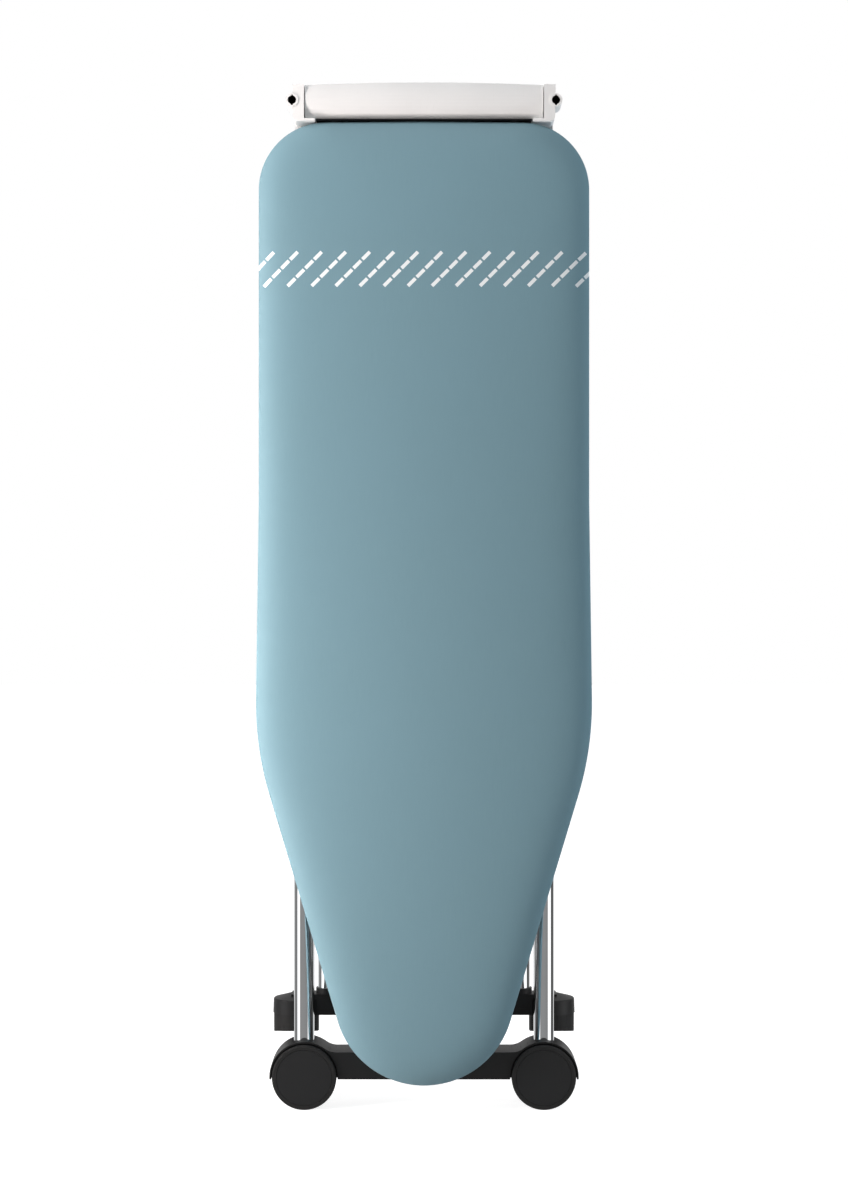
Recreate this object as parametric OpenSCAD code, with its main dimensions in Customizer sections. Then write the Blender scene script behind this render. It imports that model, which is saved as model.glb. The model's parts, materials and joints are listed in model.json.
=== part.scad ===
// Folding ironing board, folded and standing on end.
// +Z runs along the board from nose to wide end, +X across it, and -Y is the ironing face.
// The origin is on the floor, in the middle of the folded part's width and depth.

/* [Board outline] */
// Length of the covered board
board_len = 1200; // [1050:5:1300]
// Width at the wide end
end_w = 413; // [390:1:440]
// Greatest width
belly_w = 420; // [415:1:450]
// Height of the nose above the floor when the part stands on end
nose_lift = 35; // [20:1:60]
// Radius of the nose
nose_r = 113; // [95:1:125]
// Distance from the nose tip to the widest place
belly_from_nose = 477; // [440:1:520]
// Radius that blends the taper into the long sides
belly_r = 400; // [250:5:600]
// Radius of the wide end's corners
corner_r = 85; // [60:1:110]

/* [Deck] */
// Thickness of the perforated plate
plate_t = 1; // [0.8:0.1:2]
// Depth of the rim behind the plate
rim_h = 24; // [20:0.5:30]
// Wall of the rim
rim_t = 2; // [1.5:0.1:3]
// Width of the rim's inward lip
rim_lip = 20; // [14:0.5:24]
// Distance across one hexagonal vent
vent_w = 30; // [20:1:40]
// Web between two vents
vent_web = 6; // [4:0.5:12]
// Solid border round the vents
vent_border = 14; // [10:1:30]

/* [Padding] */
// Thickness of the foam and felt pad
pad_t = 10.5; // [6:0.5:14]
// Thickness of the cover
cover_t = 1.5; // [1:0.1:2.5]
// Distance of the cover's side from the deck's edge
cover_side = 3.5; // [3:0.1:6]
// Width of the hem that turns in behind the rim
hem_w = 12; // [9:0.5:14]

/* [Deck frame] */
// Width of a long rail
rail_w = 26; // [20:1:34]
// Distance of a rail from the middle
rail_x = 70; // [64:1:76]
// Sheet thickness of the rails and cross channels
sheet_t = 1.5; // [1.2:0.1:2.5]
// Width of a cross channel
cross_w = 40; // [34:1:46]
// Depth of a cross channel
cross_h = 12; // [8:0.5:13]

/* [Outer leg] */
// Outer diameter of the leg tubes
tube_d = 26; // [22:0.5:28]
// Wall of the leg tubes
tube_wall = 1.2; // [1:0.1:2.5]
// Distance of an outer tube from the middle
leg_a_x = 152; // [150:0.5:160]
// Distance of the outer leg's plane behind the deck
leg_a_drop = 31; // [29:0.5:40]
// Distance of the outer hinge from the wide end
hinge_inset = 110; // [85:1:140]
// Diameter of the axle rod
axle_d = 10; // [8:0.5:12]
// Angle of the outer leg when the board is set up
open_a = 50; // [40:1:55]

/* [Inner leg] */
// Distance of an inner tube from the middle
leg_b_x = 123.8; // [118:0.1:124]
// Distance between the two legs' planes
leg_gap = 50; // [48:0.5:56]
// Outer diameter of the cross tube
cross_tube_d = 22; // [18:0.5:24]
// Height of the rear pads above the floor
pad_lift = 85.5; // [70:0.5:100]

/* [Foot and wheels] */
// Diameter of a transport wheel
wheel_d = 81; // [70:1:88]
// Width of a transport wheel
wheel_w = 16; // [12:0.5:18]
// Distance of a wheel from the middle
wheel_x = 150.5; // [148:0.5:160]
// Front of the wheels, measured from the deck's back plane
wheel_front = -2; // [-4:0.5:0]
// Gap round a wheel inside its housing
wheel_gap = 1.5; // [1:0.1:3]
// Wall of the wheel housing
housing_t = 2; // [1.5:0.1:4]
// Height of the foot beam
beam_h = 34; // [28:1:40]
// Underside of the foot beam above the floor
beam_z = 37.5; // [34:0.5:42]
// Front of the foot beam behind the deck
beam_front = 4; // [3:0.5:8]
// Depth of the foot beam
beam_d = 51; // [48:0.5:56]
// Diameter of a wheel pin
wheel_pin_d = 10; // [8:0.5:12]
// Width of a rubber heel
heel_w = 48; // [40:1:50]
// Distance of a heel's working edge behind the deck's back plane
heel_edge = 64.344; // [62:0.001:67]

/* [Rear foot] */
// Diameter of a rear foot
foot_d = 58; // [50:1:62]
// Height of a foot cap
foot_cap_h = 22; // [18:0.5:26]
// Height of a rubber pad
foot_pad_h = 23.5; // [18:0.5:26]
// Depth of the rear beam
rear_beam_d = 30; // [28:1:36]
// Height of the rear beam
rear_beam_h = 26.5; // [24:0.5:30]

/* [Runner] */
// Length of a runner
runner_len = 56; // [40:1:60]
// Wall of a runner
runner_wall = 4; // [3:0.1:4.5]
// Diameter of a runner pin
runner_pin_d = 8; // [6:0.5:10]

/* [Pull-out rest] */
// Length of the white bar
bar_len = 296; // [280:1:298]
// Height of the bar at its middle
bar_h = 44.8; // [38:0.1:52]
// Rise of the bar's arched top
bar_arch = 3.7; // [1:0.1:6]
// Depth of the bar
bar_d = 34; // [28:0.5:38]
// Diameter of an outer rod
rod_d = 10; // [8:0.5:12]
// Diameter of an inner wire
wire_d = 7; // [5:0.5:8]
// Distance of an outer rod from the middle
rod_x = 112; // [106:1:116]
// Distance of an inner wire from the middle
wire_x = 38; // [34:1:44]
// Travel of the rest
rest_travel = 250; // [150:5:280]

/* [End caps] */
// Thickness of an end cap
cap_t = 13.6; // [12:0.1:16]
// Gap between an end cap and the bar
cap_gap = 1; // [0.6:0.1:2]
// Radius of a rod socket
socket_r = 5.25; // [4:0.05:6]
// Wall of a rod socket
socket_wall = 2.7; // [2:0.1:4]
// Depth of a rod socket
socket_len = 40; // [30:1:46]
// Height of a rod socket above the cap's foot
socket_rise = 24.2; // [20:0.1:34]
// Reach of the tail panel's web below the wide end
tail_web = 42; // [34:1:48]

/* [Release] */
// Width of the squeeze lever's paddle
paddle_w = 90; // [60:1:110]
// Arm between a pivot and its link pin
link_arm = 16; // [12:0.5:18]
// Outer radius of the height quadrant
quadrant_r = 29.5; // [26:0.5:31]
// Number of height notches
notch_n = 4; // [2:1:5]
// Angle between two notches
notch_step = 15; // [13:1:18]

/* [Clearances] */
// Radial clearance of a running fit
fit = 0.05; // [0.02:0.01:0.1]
// Gap between pieces that pass each other
pass = 0.5; // [0.3:0.1:1]

/* [Hidden] */

$fn = 48;
LEFT = -1;
RIGHT = 1;

// Depth of the folded part: the cover's face in front, the rear feet behind.
front_depth = rim_h + plate_t + pad_t + cover_t;
leg_b_drop = leg_a_drop + leg_gap;
rear_depth = leg_b_drop + foot_d / 2 + 1;
// The deck's back plane, and the two legs' planes, in the part's own frame.
deck_y = (front_depth - rear_depth) / 2;
leg_a_y = deck_y + leg_a_drop;
leg_b_y = deck_y + leg_b_drop;
plate_y = deck_y - rim_h;
pad_y = plate_y - plate_t;
cover_y = pad_y - pad_t;
front_y = cover_y - cover_t;

// Outline of the board: nose circle, belly arc and corner arc, with straight sides between them.
tip_z = nose_lift;
top_z = tip_z + board_len;
nose_z = tip_z + nose_r;
belly_z = tip_z + belly_from_nose;
belly_x = belly_w / 2 - belly_r;
corner_x = end_w / 2 - corner_r;
corner_z = top_z - corner_r;
// Angle of the taper, from the tangent that the nose circle and the belly arc share.
taper_span = norm([belly_x, belly_z - nose_z]);
taper_a = atan2(belly_z - nose_z, -belly_x) - acos((belly_r - nose_r) / taper_span);
// Angle at which the belly arc runs out towards the narrower wide end.
side_a = 0.8;
shoulder_z = belly_z + (belly_w - end_w) / 2 / tan(side_a);
end_crown = 1.2;

// The cross channels end beside the cover's hem, on the rim's lip.
channel_reach = end_w / 2 - hem_w - 1;

tube_r = tube_d / 2;
hinge_a_z = top_z - hinge_inset;
rear_a = 2 * open_a;
// Depth of the floor below the outer hinge when the board is set up: the heel's edge decides it,
// and the inner leg is as long as it takes to bring the rear pad's contact edge to the same floor.
heel_y = deck_y + heel_edge;
floor_depth = hinge_a_z * sin(open_a) + (heel_y - leg_a_y) * cos(open_a);
contact_h = -foot_d / 2 + 20;
contact_s = (floor_depth - leg_gap - contact_h * cos(rear_a)) / sin(rear_a);
hinge_b_z = pad_lift + contact_s;
hinge_step = hinge_a_z - hinge_b_z;
// The runner lies where the two legs' planes cross: twice the hinge step below the outer hinge.
runner_z = hinge_a_z - 2 * hinge_step;
tube_end = 8;
beam_y = deck_y + beam_front;
beam_top = beam_z + beam_h;
wheel_r = wheel_d / 2;
wheel_z = wheel_r;
wheel_y = deck_y + wheel_front;
wheel_back = wheel_y + wheel_w;
pocket_r = wheel_r + wheel_gap;
housing_r = pocket_r + housing_t;
pocket_floor = wheel_back + 1;
housing_top = wheel_z + housing_r;

// Rear foot: pad, cap and beam, from the floor up.
cap_z = pad_lift + foot_pad_h;
rear_beam_z = cap_z - 2;
rear_beam_top = rear_beam_z + rear_beam_h;
foot_x = leg_b_x + tube_r + foot_d / 2 - 1.3;

// Wide end: tail panel, end caps and bar.
tail_top = top_z + 2.6;
bar_z = tail_top + 0.8;
cap_x = bar_len / 2 + cap_gap;
end_y = front_y + 4;
end_depth = bar_d + 5;
socket_x = cap_x + cap_t + 1.2;
socket_z = top_z + 1 + socket_rise;
rod_y = deck_y - rim_h / 2;
guide_z = hinge_a_z;
guide_h = 30;
collar_h = 8;
collar_z = guide_z - guide_h / 2 - rest_travel - collar_h - 2;
rod_foot = collar_z - 6;
rod_top = bar_z + 16;

// Release linkage: two equal arms joined by a link, so the link stays parallel to the board.
lever_y = leg_a_y + 5;
lever_z = top_z - 48;
pawl_y = lever_y;
tooth_gap = 0.6;
pawl_h = 10;
pawl_z = hinge_b_z + quadrant_r + tooth_gap + 10;
link_y = lever_y - link_arm;
link_t = 3;
lever_pin_r = 3;
link_pin_r = 2.5;
arm_t = 4;
lever_spread = 26;
pawl_spread = 12;
bracket_wall = 2;

/* Shared shapes */

function arc(cx, cz, r, from, to, n) =
    [for (i = [0 : n]) let (a = from + (to - from) * i / n) [cx + r * cos(a), cz + r * sin(a)]];

// Right half of the board's outline, moved inwards by inset.
function half_outline(inset) = concat(
    arc(0, nose_z, nose_r - inset, -90, -taper_a, 14),
    arc(belly_x, belly_z, belly_r - inset, -taper_a, side_a, 8),
    [[end_w / 2 - inset, shoulder_z]],
    arc(corner_x, corner_z, corner_r - inset, 0, 90, 10),
    [[0, top_z + end_crown - inset]]);

function board_outline(inset) =
    let (half = half_outline(inset), n = len(half))
    concat(half, [for (i = [n - 2 : -1 : 1]) [-half[i][0], half[i][1]]]);

// Extrudes an X-Z outline backwards (+Y) from a plane.
module slab(y, depth) {
    translate([0, y + depth, 0])
        rotate([90, 0, 0])
            linear_extrude(depth)
                children();
}

// A rod along +X, -Y..+Y or +Z from a start point.
module rod_x(at, r, length) {
    translate(at)
        rotate([0, 90, 0])
            cylinder(r = r, h = length);
}

module rod_y(at, r, length) {
    translate(at)
        rotate([-90, 0, 0])
            cylinder(r = r, h = length);
}

module rod_z(at, r, length) {
    translate(at)
        cylinder(r = r, h = length);
}

// A plate in the Y-Z plane: its outline is given as [y, z] and it is centred on x.
module side_plate(x, thickness) {
    translate([x - thickness / 2, 0, 0])
        rotate([90, 0, 90])
            linear_extrude(thickness)
                children();
}

module mirrored(side) {
    if (side == LEFT) mirror([1, 0, 0]) children();
    else children();
}

/* Deck */

module vent_pattern(inset) {
    pitch = vent_w + vent_web;
    row = pitch * sqrt(3) / 2;
    vent_r = vent_w / sqrt(3);
    rows = floor(board_len / 2 / row);
    columns = floor(belly_w / 2 / pitch) + 1;
    limit = inset + vent_border + vent_r;
    middle = tip_z + board_len / 2;
    for (i = [-rows : rows])
        for (j = [-columns : columns])
            let (x = (j + (i % 2 == 0 ? 0 : 0.5)) * pitch, z = middle + i * row)
                if (vent_fits(x, z, limit))
                    translate([x, z])
                        rotate(30)
                            circle(r = vent_r, $fn = 6);
}

// A vent fits where it lies inside the outline by the given distance.
function vent_fits(x, z, limit) =
    let (u = abs(x))
    z > tip_z + limit && z < top_z - limit && u < end_w / 2 - limit
    && (z > nose_z || norm([u, z - nose_z]) < nose_r - limit)
    && (z > belly_z || u * cos(taper_a) - (z - nose_z) * sin(taper_a) < nose_r - limit)
    && (z < corner_z || u < corner_x || norm([u - corner_x, z - corner_z]) < corner_r - limit);

module deck_plate() {
    color("lightgray")
        slab(pad_y, plate_t)
            difference() {
                polygon(board_outline(cover_side));
                vent_pattern(cover_side);
            }
}

// Holes for the rest's rods and wires in the pieces they pass at the wide end.
module rod_holes(z, depth, clearance) {
    for (side = [LEFT, RIGHT]) {
        rod_z([side * rod_x, rod_y, z], rod_d / 2 + clearance, depth);
        rod_z([side * wire_x, rod_y, z], wire_d / 2 + clearance, depth);
    }
}

module deck_rim() {
    color("silver")
        difference() {
            slab(plate_y, rim_h)
                polygon(board_outline(cover_side));
            slab(plate_y - 1, rim_h - rim_t + 1)
                polygon(board_outline(cover_side + rim_t));
            slab(deck_y - rim_t - 1, rim_t + 2)
                polygon(board_outline(cover_side + rim_t + rim_lip));
            rod_holes(top_z - cover_side - rim_t - 2, rim_t + 6, pass);
        }
}

module pad() {
    color("whitesmoke")
        slab(cover_y, pad_t)
            polygon(board_outline(cover_side));
}

module cover() {
    hem_y = deck_y + 0.3;
    color("steelblue")
        difference() {
            slab(front_y, hem_y + cover_t - front_y)
                polygon(board_outline(0));
            slab(cover_y, hem_y - cover_y)
                polygon(board_outline(cover_side - 0.3));
            slab(hem_y - 1, cover_t + 2)
                polygon(board_outline(hem_w));
            rod_holes(top_z - cover_side - 2, cover_side + 6, 2 * pass);
        }
}

/* Deck frame */

module rail(side) {
    low = tip_z + 130;
    high = guide_z - guide_h / 2 - 12;
    depth = rim_h - 0.2;
    hole_n = 10;
    color("silver")
        mirrored(side)
            difference() {
                translate([rail_x - rail_w / 2, plate_y + 0.2, low])
                    cube([rail_w, depth, high - low]);
                translate([rail_x - rail_w / 2 + sheet_t, plate_y + sheet_t + 0.2, low - 1])
                    cube([rail_w - 2 * sheet_t, depth, high - low + 2]);
                // Lightening holes along the rail's web
                for (i = [0.5 : hole_n])
                    rod_y([rail_x, plate_y - 1, low + i * (high - low) / hole_n], rail_w / 4, sheet_t + 3);
            }
}

// A shallow channel across the back of the deck, from lip to lip.
module cross_channel(z) {
    reach = channel_reach;
    flange = 14;
    color("silver")
        difference() {
            union() {
                translate([-reach, deck_y, z - cross_w / 2])
                    cube([2 * reach, sheet_t, cross_w]);
                translate([-reach + flange, deck_y, z - cross_w / 2])
                    cube([2 * (reach - flange), cross_h, cross_w]);
            }
            translate([-reach + flange + sheet_t, deck_y - 1, z - cross_w / 2 + sheet_t])
                cube([2 * (reach - flange - sheet_t), cross_h - sheet_t + 1, cross_w - 2 * sheet_t]);
        }
}

module cross_upper() {
    cross_channel(hinge_a_z);
}

module cross_lower() {
    cross_channel(hinge_b_z);
}

// Outer-leg bracket: a clevis with two cheeks that hold the axle rod.
module bracket_a(side) {
    cheek = 2.5;
    gap = tube_d + 2 * pass;
    base_y = deck_y + cross_h;
    color("dimgray")
        mirrored(side)
            difference() {
                union() {
                    translate([leg_a_x - gap / 2 - cheek, base_y, hinge_a_z - cross_w / 2])
                        cube([gap + 2 * cheek, 2, cross_w]);
                    for (x = [leg_a_x - gap / 2 - cheek / 2, leg_a_x + gap / 2 + cheek / 2])
                        side_plate(x, cheek)
                            union() {
                                polygon([
                                    [base_y, hinge_a_z - cross_w / 2], [base_y, hinge_a_z + cross_w / 2],
                                    [leg_a_y, hinge_a_z + axle_d], [leg_a_y, hinge_a_z - axle_d]]);
                                translate([leg_a_y, hinge_a_z])
                                    circle(r = axle_d);
                            }
                }
                rod_x([leg_a_x - gap, leg_a_y, hinge_a_z], axle_d / 2, 2 * gap);
            }
}

module axle_a() {
    reach = leg_a_x + tube_r + pass + 2.5 + 3;
    color("silver")
        union() {
            rod_x([-reach, leg_a_y, hinge_a_z], axle_d / 2, 2 * reach);
            for (x = [-reach - 3, reach])
                rod_x([x, leg_a_y, hinge_a_z], axle_d / 2 + 3, 3);
        }
}

// Inner-leg bracket: a tall stand whose two cheeks hold the bush round the cross tube.
module bracket_b(side) {
    cheek = 2.5;
    width = 28;
    base_y = deck_y + cross_h;
    bush_r = cross_tube_d / 2 + 3;
    color("dimgray")
        mirrored(side)
            difference() {
                union() {
                    translate([rail_x - width / 2, base_y, hinge_b_z - cross_w / 2])
                        cube([width, 2.5, cross_w]);
                    for (x = [rail_x - (width - cheek) / 2, rail_x + (width - cheek) / 2])
                        side_plate(x, cheek)
                            union() {
                                polygon([
                                    [base_y, hinge_b_z - cross_w / 2], [base_y, hinge_b_z + cross_w / 2],
                                    [leg_b_y, hinge_b_z + bush_r + 4], [leg_b_y, hinge_b_z - bush_r - 4]]);
                                translate([leg_b_y, hinge_b_z])
                                    circle(r = bush_r + 4);
                            }
                }
                rod_x([rail_x - width, leg_b_y, hinge_b_z], bush_r, 2 * width);
                // Window that lightens both cheeks
                rod_x([rail_x - width, (base_y + leg_b_y - bush_r) / 2, hinge_b_z], 11, 2 * width);
            }
}

// Plastic bushes in the inner-leg brackets, with a flange on each side.
module bushes_b() {
    width = 28;
    bush_r = cross_tube_d / 2 + 3;
    color("dimgray")
        for (side = [LEFT, RIGHT])
            difference() {
                union() {
                    rod_x([side * rail_x - width / 2, leg_b_y, hinge_b_z], bush_r, width);
                    for (x = [-width / 2 - 2, width / 2])
                        rod_x([side * rail_x + x, leg_b_y, hinge_b_z], bush_r + 3, 2);
                }
                rod_x([side * rail_x - width, leg_b_y, hinge_b_z], cross_tube_d / 2 + fit, 2 * width);
            }
}

/* Wide end */

module tail_panel() {
    half = cap_x - cap_t - 1.4;
    color("black")
        difference() {
            union() {
                // Strip that shows between the cover and the bar
                translate([-half, end_y + 3, top_z + end_crown + 0.2])
                    cube([2 * half, deck_y + 4 - end_y - 3, tail_top - top_z - end_crown - 0.2]);
                // Web behind the rim that carries it
                translate([-half, deck_y + 2.4, top_z - tail_web])
                    cube([2 * half, 3, tail_top - top_z + tail_web]);
            }
            rod_holes(top_z - 5, tail_top - top_z + 6, pass);
        }
}

module end_cap(side) {
    foot_z = top_z - 0.6;
    cap_h = bar_h + 1.8;
    arm_x = cap_x + 2;
    color("white")
        mirrored(side)
            difference() {
                union() {
                    // Cheek beside the bar, rounded at its outer lower corner
                    slab(end_y, end_depth)
                        polygon(concat(
                            [[cap_x, foot_z], [cap_x, foot_z + cap_h - 1],
                                [cap_x + cap_t + 0.6, foot_z + cap_h - 1.5]],
                            arc(cap_x + cap_t - 5, foot_z + 5, 5, 0, -90, 6)));
                    // Foot that runs inwards under the bar
                    translate([cap_x - 13.5, end_y, foot_z])
                        cube([14, end_depth, tail_top - foot_z]);
                    // Arm behind the rim
                    translate([arm_x - 10, deck_y + 2.4, top_z - 70])
                        cube([cap_t + 7, 3.6, 72]);
                    rod_y([socket_x, end_y - 1, socket_z], socket_r + socket_wall, socket_len);
                }
                rod_y([socket_x, end_y - 2, socket_z], socket_r, socket_len + 2);
                // Two small keyways in the socket's wall
                translate([socket_x - 1.4, end_y - 2, socket_z - socket_r - 1.2])
                    cube([2.8, socket_len + 2, 2 * socket_r + 2.4]);
            }
}

// Blocks under the upper channel that the rods and wires slide in.
module rod_guides() {
    low_x = wire_x - wire_d / 2 - 4;
    high_x = rod_x + rod_d / 2 + 4;
    color("dimgray")
        for (side = [LEFT, RIGHT])
            mirrored(side)
                difference() {
                    translate([low_x, rod_y - rod_d / 2 - 3, guide_z - guide_h / 2])
                        cube([high_x - low_x, deck_y - rod_y + rod_d / 2 + 3, guide_h]);
                    rod_z([rod_x, rod_y, guide_z - guide_h], rod_d / 2 + fit, 2 * guide_h);
                    rod_z([wire_x, rod_y, guide_z - guide_h], wire_d / 2 + fit, 2 * guide_h);
                }
}

module rest_bar() {
    half = bar_len / 2;
    rise = bar_h - bar_arch;
    crown_r = (half * half + bar_arch * bar_arch) / 2 / bar_arch;
    front = deck_y - 32;
    color("white")
        difference() {
            // Outline with an arched top, crossed with a section that bulges to the front
            intersection() {
                slab(front - 10, bar_d + 20)
                    polygon(concat([[-half, bar_z], [half, bar_z]],
                        arc(0, bar_z + bar_h - crown_r, crown_r, 90 - asin(half / crown_r),
                            90 + asin(half / crown_r), 16)));
                translate([-half, 0, 0])
                    rotate([90, 0, 90])
                        linear_extrude(bar_len)
                            polygon(concat([[front + bar_d, bar_z - 1], [front + bar_d, bar_z + bar_h + 1]],
                                arc(front + 44, bar_z + bar_h / 2 + 2, 44, 145, 216, 12)));
            }
            // Hollow back
            translate([-half + 3, front + 8, bar_z + 22])
                cube([bar_len - 6, bar_d, rise - 26]);
            for (x = [-rod_x, rod_x])
                rod_z([x, rod_y, bar_z - 1], rod_d / 2, rod_top - bar_z + 1);
            for (x = [-wire_x, wire_x])
                rod_z([x, rod_y, bar_z - 1], wire_d / 2, rod_top - bar_z + 1);
        }
}

module rest_rod(side) {
    color("silver")
        rod_z([side * rod_x, rod_y, rod_foot], rod_d / 2, rod_top - rod_foot);
}

module rest_wires() {
    color("silver")
        for (side = [LEFT, RIGHT])
            rod_z([side * wire_x, rod_y, rod_foot], wire_d / 2, rod_top - rod_foot);
}

// Stop collars: they meet the guide blocks when the rest is fully out.
module rest_collars() {
    color("dimgray")
        for (side = [LEFT, RIGHT]) {
            difference() {
                rod_z([side * rod_x, rod_y, collar_z], rod_d / 2 + 2.5, collar_h);
                rod_z([side * rod_x, rod_y, collar_z - 1], rod_d / 2, collar_h + 2);
            }
            difference() {
                rod_z([side * wire_x, rod_y, collar_z], wire_d / 2 + 2.5, collar_h);
                rod_z([side * wire_x, rod_y, collar_z - 1], wire_d / 2, collar_h + 2);
            }
        }
}

/* Release */

module pivot_bracket(y, z, base_y, foot_z, foot_h, spread) {
    cheek = bracket_wall;
    difference() {
        union() {
            translate([-spread / 2 - cheek, base_y, foot_z])
                cube([spread + 2 * cheek, 2, foot_h]);
            for (x = [-(spread + cheek) / 2, (spread + cheek) / 2])
                side_plate(x, cheek)
                    union() {
                        polygon([[base_y, foot_z], [base_y, foot_z + foot_h],
                            [y - 3, z + 6], [y + 3, z - 6]]);
                        translate([y, z])
                            circle(r = 7);
                    }
        }
        rod_x([-spread, y, z], lever_pin_r, 2 * spread);
    }
}

module lever_bracket() {
    color("dimgray")
        pivot_bracket(lever_y, lever_z, deck_y + 5.4, top_z - tail_web + 1, 30, lever_spread);
}

module pawl_bracket() {
    color("dimgray")
        pivot_bracket(pawl_y, pawl_z, deck_y + cross_h, hinge_b_z - cross_w / 2, cross_w, pawl_spread);
}

// Lever pin and pawl pin, each standing 2 mm proud of its bracket
module release_pins() {
    lever_half = lever_spread / 2 + bracket_wall + 2;
    pawl_half = pawl_spread / 2 + bracket_wall + 2;
    color("silver")
        union() {
            rod_x([-lever_half, lever_y, lever_z], lever_pin_r, 2 * lever_half);
            rod_x([-pawl_half, pawl_y, pawl_z], lever_pin_r, 2 * pawl_half);
        }
}

// Return spring: three turns round the lever pin
module lever_spring() {
    wire = 0.7;
    color("silver")
        for (i = [0 : 2])
            translate([8.9 + i * (2 * wire + 0.1), lever_y, lever_z])
                rotate([0, 90, 0])
                    rotate_extrude()
                        translate([lever_pin_r + wire + 0.4, 0])
                            circle(r = wire, $fn = 16);
}

// Squeeze lever: a wide paddle, a hub round its pin, and a short arm to the link.
module release_lever() {
    paddle_z = lever_z + 12;
    paddle_top = top_z - 2;
    color("black") {
        // Grip ribs in the dish
        for (i = [-2 : 2])
            translate([i * paddle_w / 7 - 1, lever_y + 1, paddle_z + 17])
                cube([2, 2, paddle_top - 8 - paddle_z - 17]);
        difference() {
            union() {
                // Dished paddle with rounded corners
                slab(lever_y - 4, 7)
                    polygon(concat([[-8, lever_z], [8, lever_z], [8, paddle_z]],
                        [[paddle_w / 2, paddle_z + 12]],
                        arc(paddle_w / 2 - 8, paddle_top - 8, 8, 0, 90, 6),
                        arc(-paddle_w / 2 + 8, paddle_top - 8, 8, 90, 180, 6),
                        [[-paddle_w / 2, paddle_z + 12], [-8, paddle_z]]));
                rod_x([-8, lever_y, lever_z], lever_pin_r + 4, 16);
                side_plate(0, arm_t)
                    polygon([[lever_y, lever_z - 6], [lever_y, lever_z + 6],
                        [link_y, lever_z + 5], [link_y - 4, lever_z], [link_y, lever_z - 5]]);
                rod_x([-arm_t / 2, link_y, lever_z], link_pin_r, arm_t + link_t + 2);
            }
            rod_x([-20, lever_y, lever_z], lever_pin_r + fit, 40);
            slab(lever_y + 1.5, 6)
                polygon([[-paddle_w / 2 + 6, paddle_z + 15], [paddle_w / 2 - 6, paddle_z + 15],
                    [paddle_w / 2 - 6, paddle_top - 6], [-paddle_w / 2 + 6, paddle_top - 6]]);
        }
    }
}

// Flat link with an eye at each end
module link_rod() {
    x = arm_t / 2 + pass / 2 + link_t / 2;
    color("silver")
        difference() {
            side_plate(x, link_t)
                union() {
                    translate([link_y - 2.5, pawl_z])
                        square([5, lever_z - pawl_z]);
                    for (z = [pawl_z, lever_z])
                        translate([link_y, z])
                            circle(r = link_pin_r + 2.5);
                }
            for (z = [pawl_z, lever_z])
                rod_x([x - link_t, link_y, z], link_pin_r + fit, 2 * link_t);
        }
}

// Pawl: its tooth rides on the quadrant and drops into a notch when the board is set up.
module pawl() {
    tip_z = hinge_b_z + quadrant_r + tooth_gap;
    color("dimgray")
        difference() {
            union() {
                side_plate(0, arm_t)
                    union() {
                        polygon([[link_y, pawl_z - 4], [link_y, pawl_z + 4],
                            [pawl_y, pawl_z + pawl_h / 2 + 1], [leg_b_y + 2, pawl_z + pawl_h / 2],
                            [leg_b_y + 2, tip_z + 2], [leg_b_y + 1, tip_z], [leg_b_y - 1, tip_z],
                            [leg_b_y - 3, pawl_z - 2], [pawl_y, pawl_z - pawl_h / 2 - 1]]);
                        translate([link_y, pawl_z])
                            circle(r = 4);
                    }
                rod_x([-5, pawl_y, pawl_z], lever_pin_r + 3.5, 10);
                rod_x([-arm_t / 2, link_y, pawl_z], link_pin_r, arm_t + link_t + 2);
            }
            rod_x([-20, pawl_y, pawl_z], lever_pin_r + fit, 40);
        }
}

/* Outer leg */

module leg_a_tube(side) {
    foot_z = beam_top - 20;
    color("gainsboro")
        difference() {
            rod_z([side * leg_a_x, leg_a_y, foot_z], tube_r, hinge_a_z + tube_end - foot_z);
            rod_z([side * leg_a_x, leg_a_y, foot_z - 1], tube_r - tube_wall,
                hinge_a_z + tube_end - foot_z + 2);
            rod_x([side * leg_a_x - tube_d, leg_a_y, hinge_a_z], axle_d / 2 + fit, 2 * tube_d);
        }
}

// Domed plug in a tube's end
module tube_plug(x, y, z) {
    translate([x, y, z])
        rotate_extrude()
            polygon(concat([[0, -2.5], [tube_r - tube_wall, -2.5], [tube_r - tube_wall, 0], [tube_r, 0]],
                [for (i = [0 : 5]) [tube_r * cos(i * 18), 3 * sin(i * 18) + 0.2]]));
}

module leg_a_plugs() {
    color("black")
        for (side = [LEFT, RIGHT])
            tube_plug(side * leg_a_x, leg_a_y, hinge_a_z + tube_end);
}

// Right half of the foot beam's front outline: fairing from the beam's top, then the wheel housing's arc.
fair_r = 25;
fair_z = beam_top + fair_r;
fair_x = wheel_x - sqrt(pow(housing_r + fair_r, 2) - pow(fair_z - wheel_z, 2));
fair_a = atan2(fair_z - wheel_z, fair_x - wheel_x);
foot_half = concat(
    arc(fair_x, fair_z, fair_r, -90, fair_a - 180, 6),
    arc(wheel_x, wheel_z, housing_r, fair_a, asin((beam_z - wheel_z) / housing_r), 24));

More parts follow.
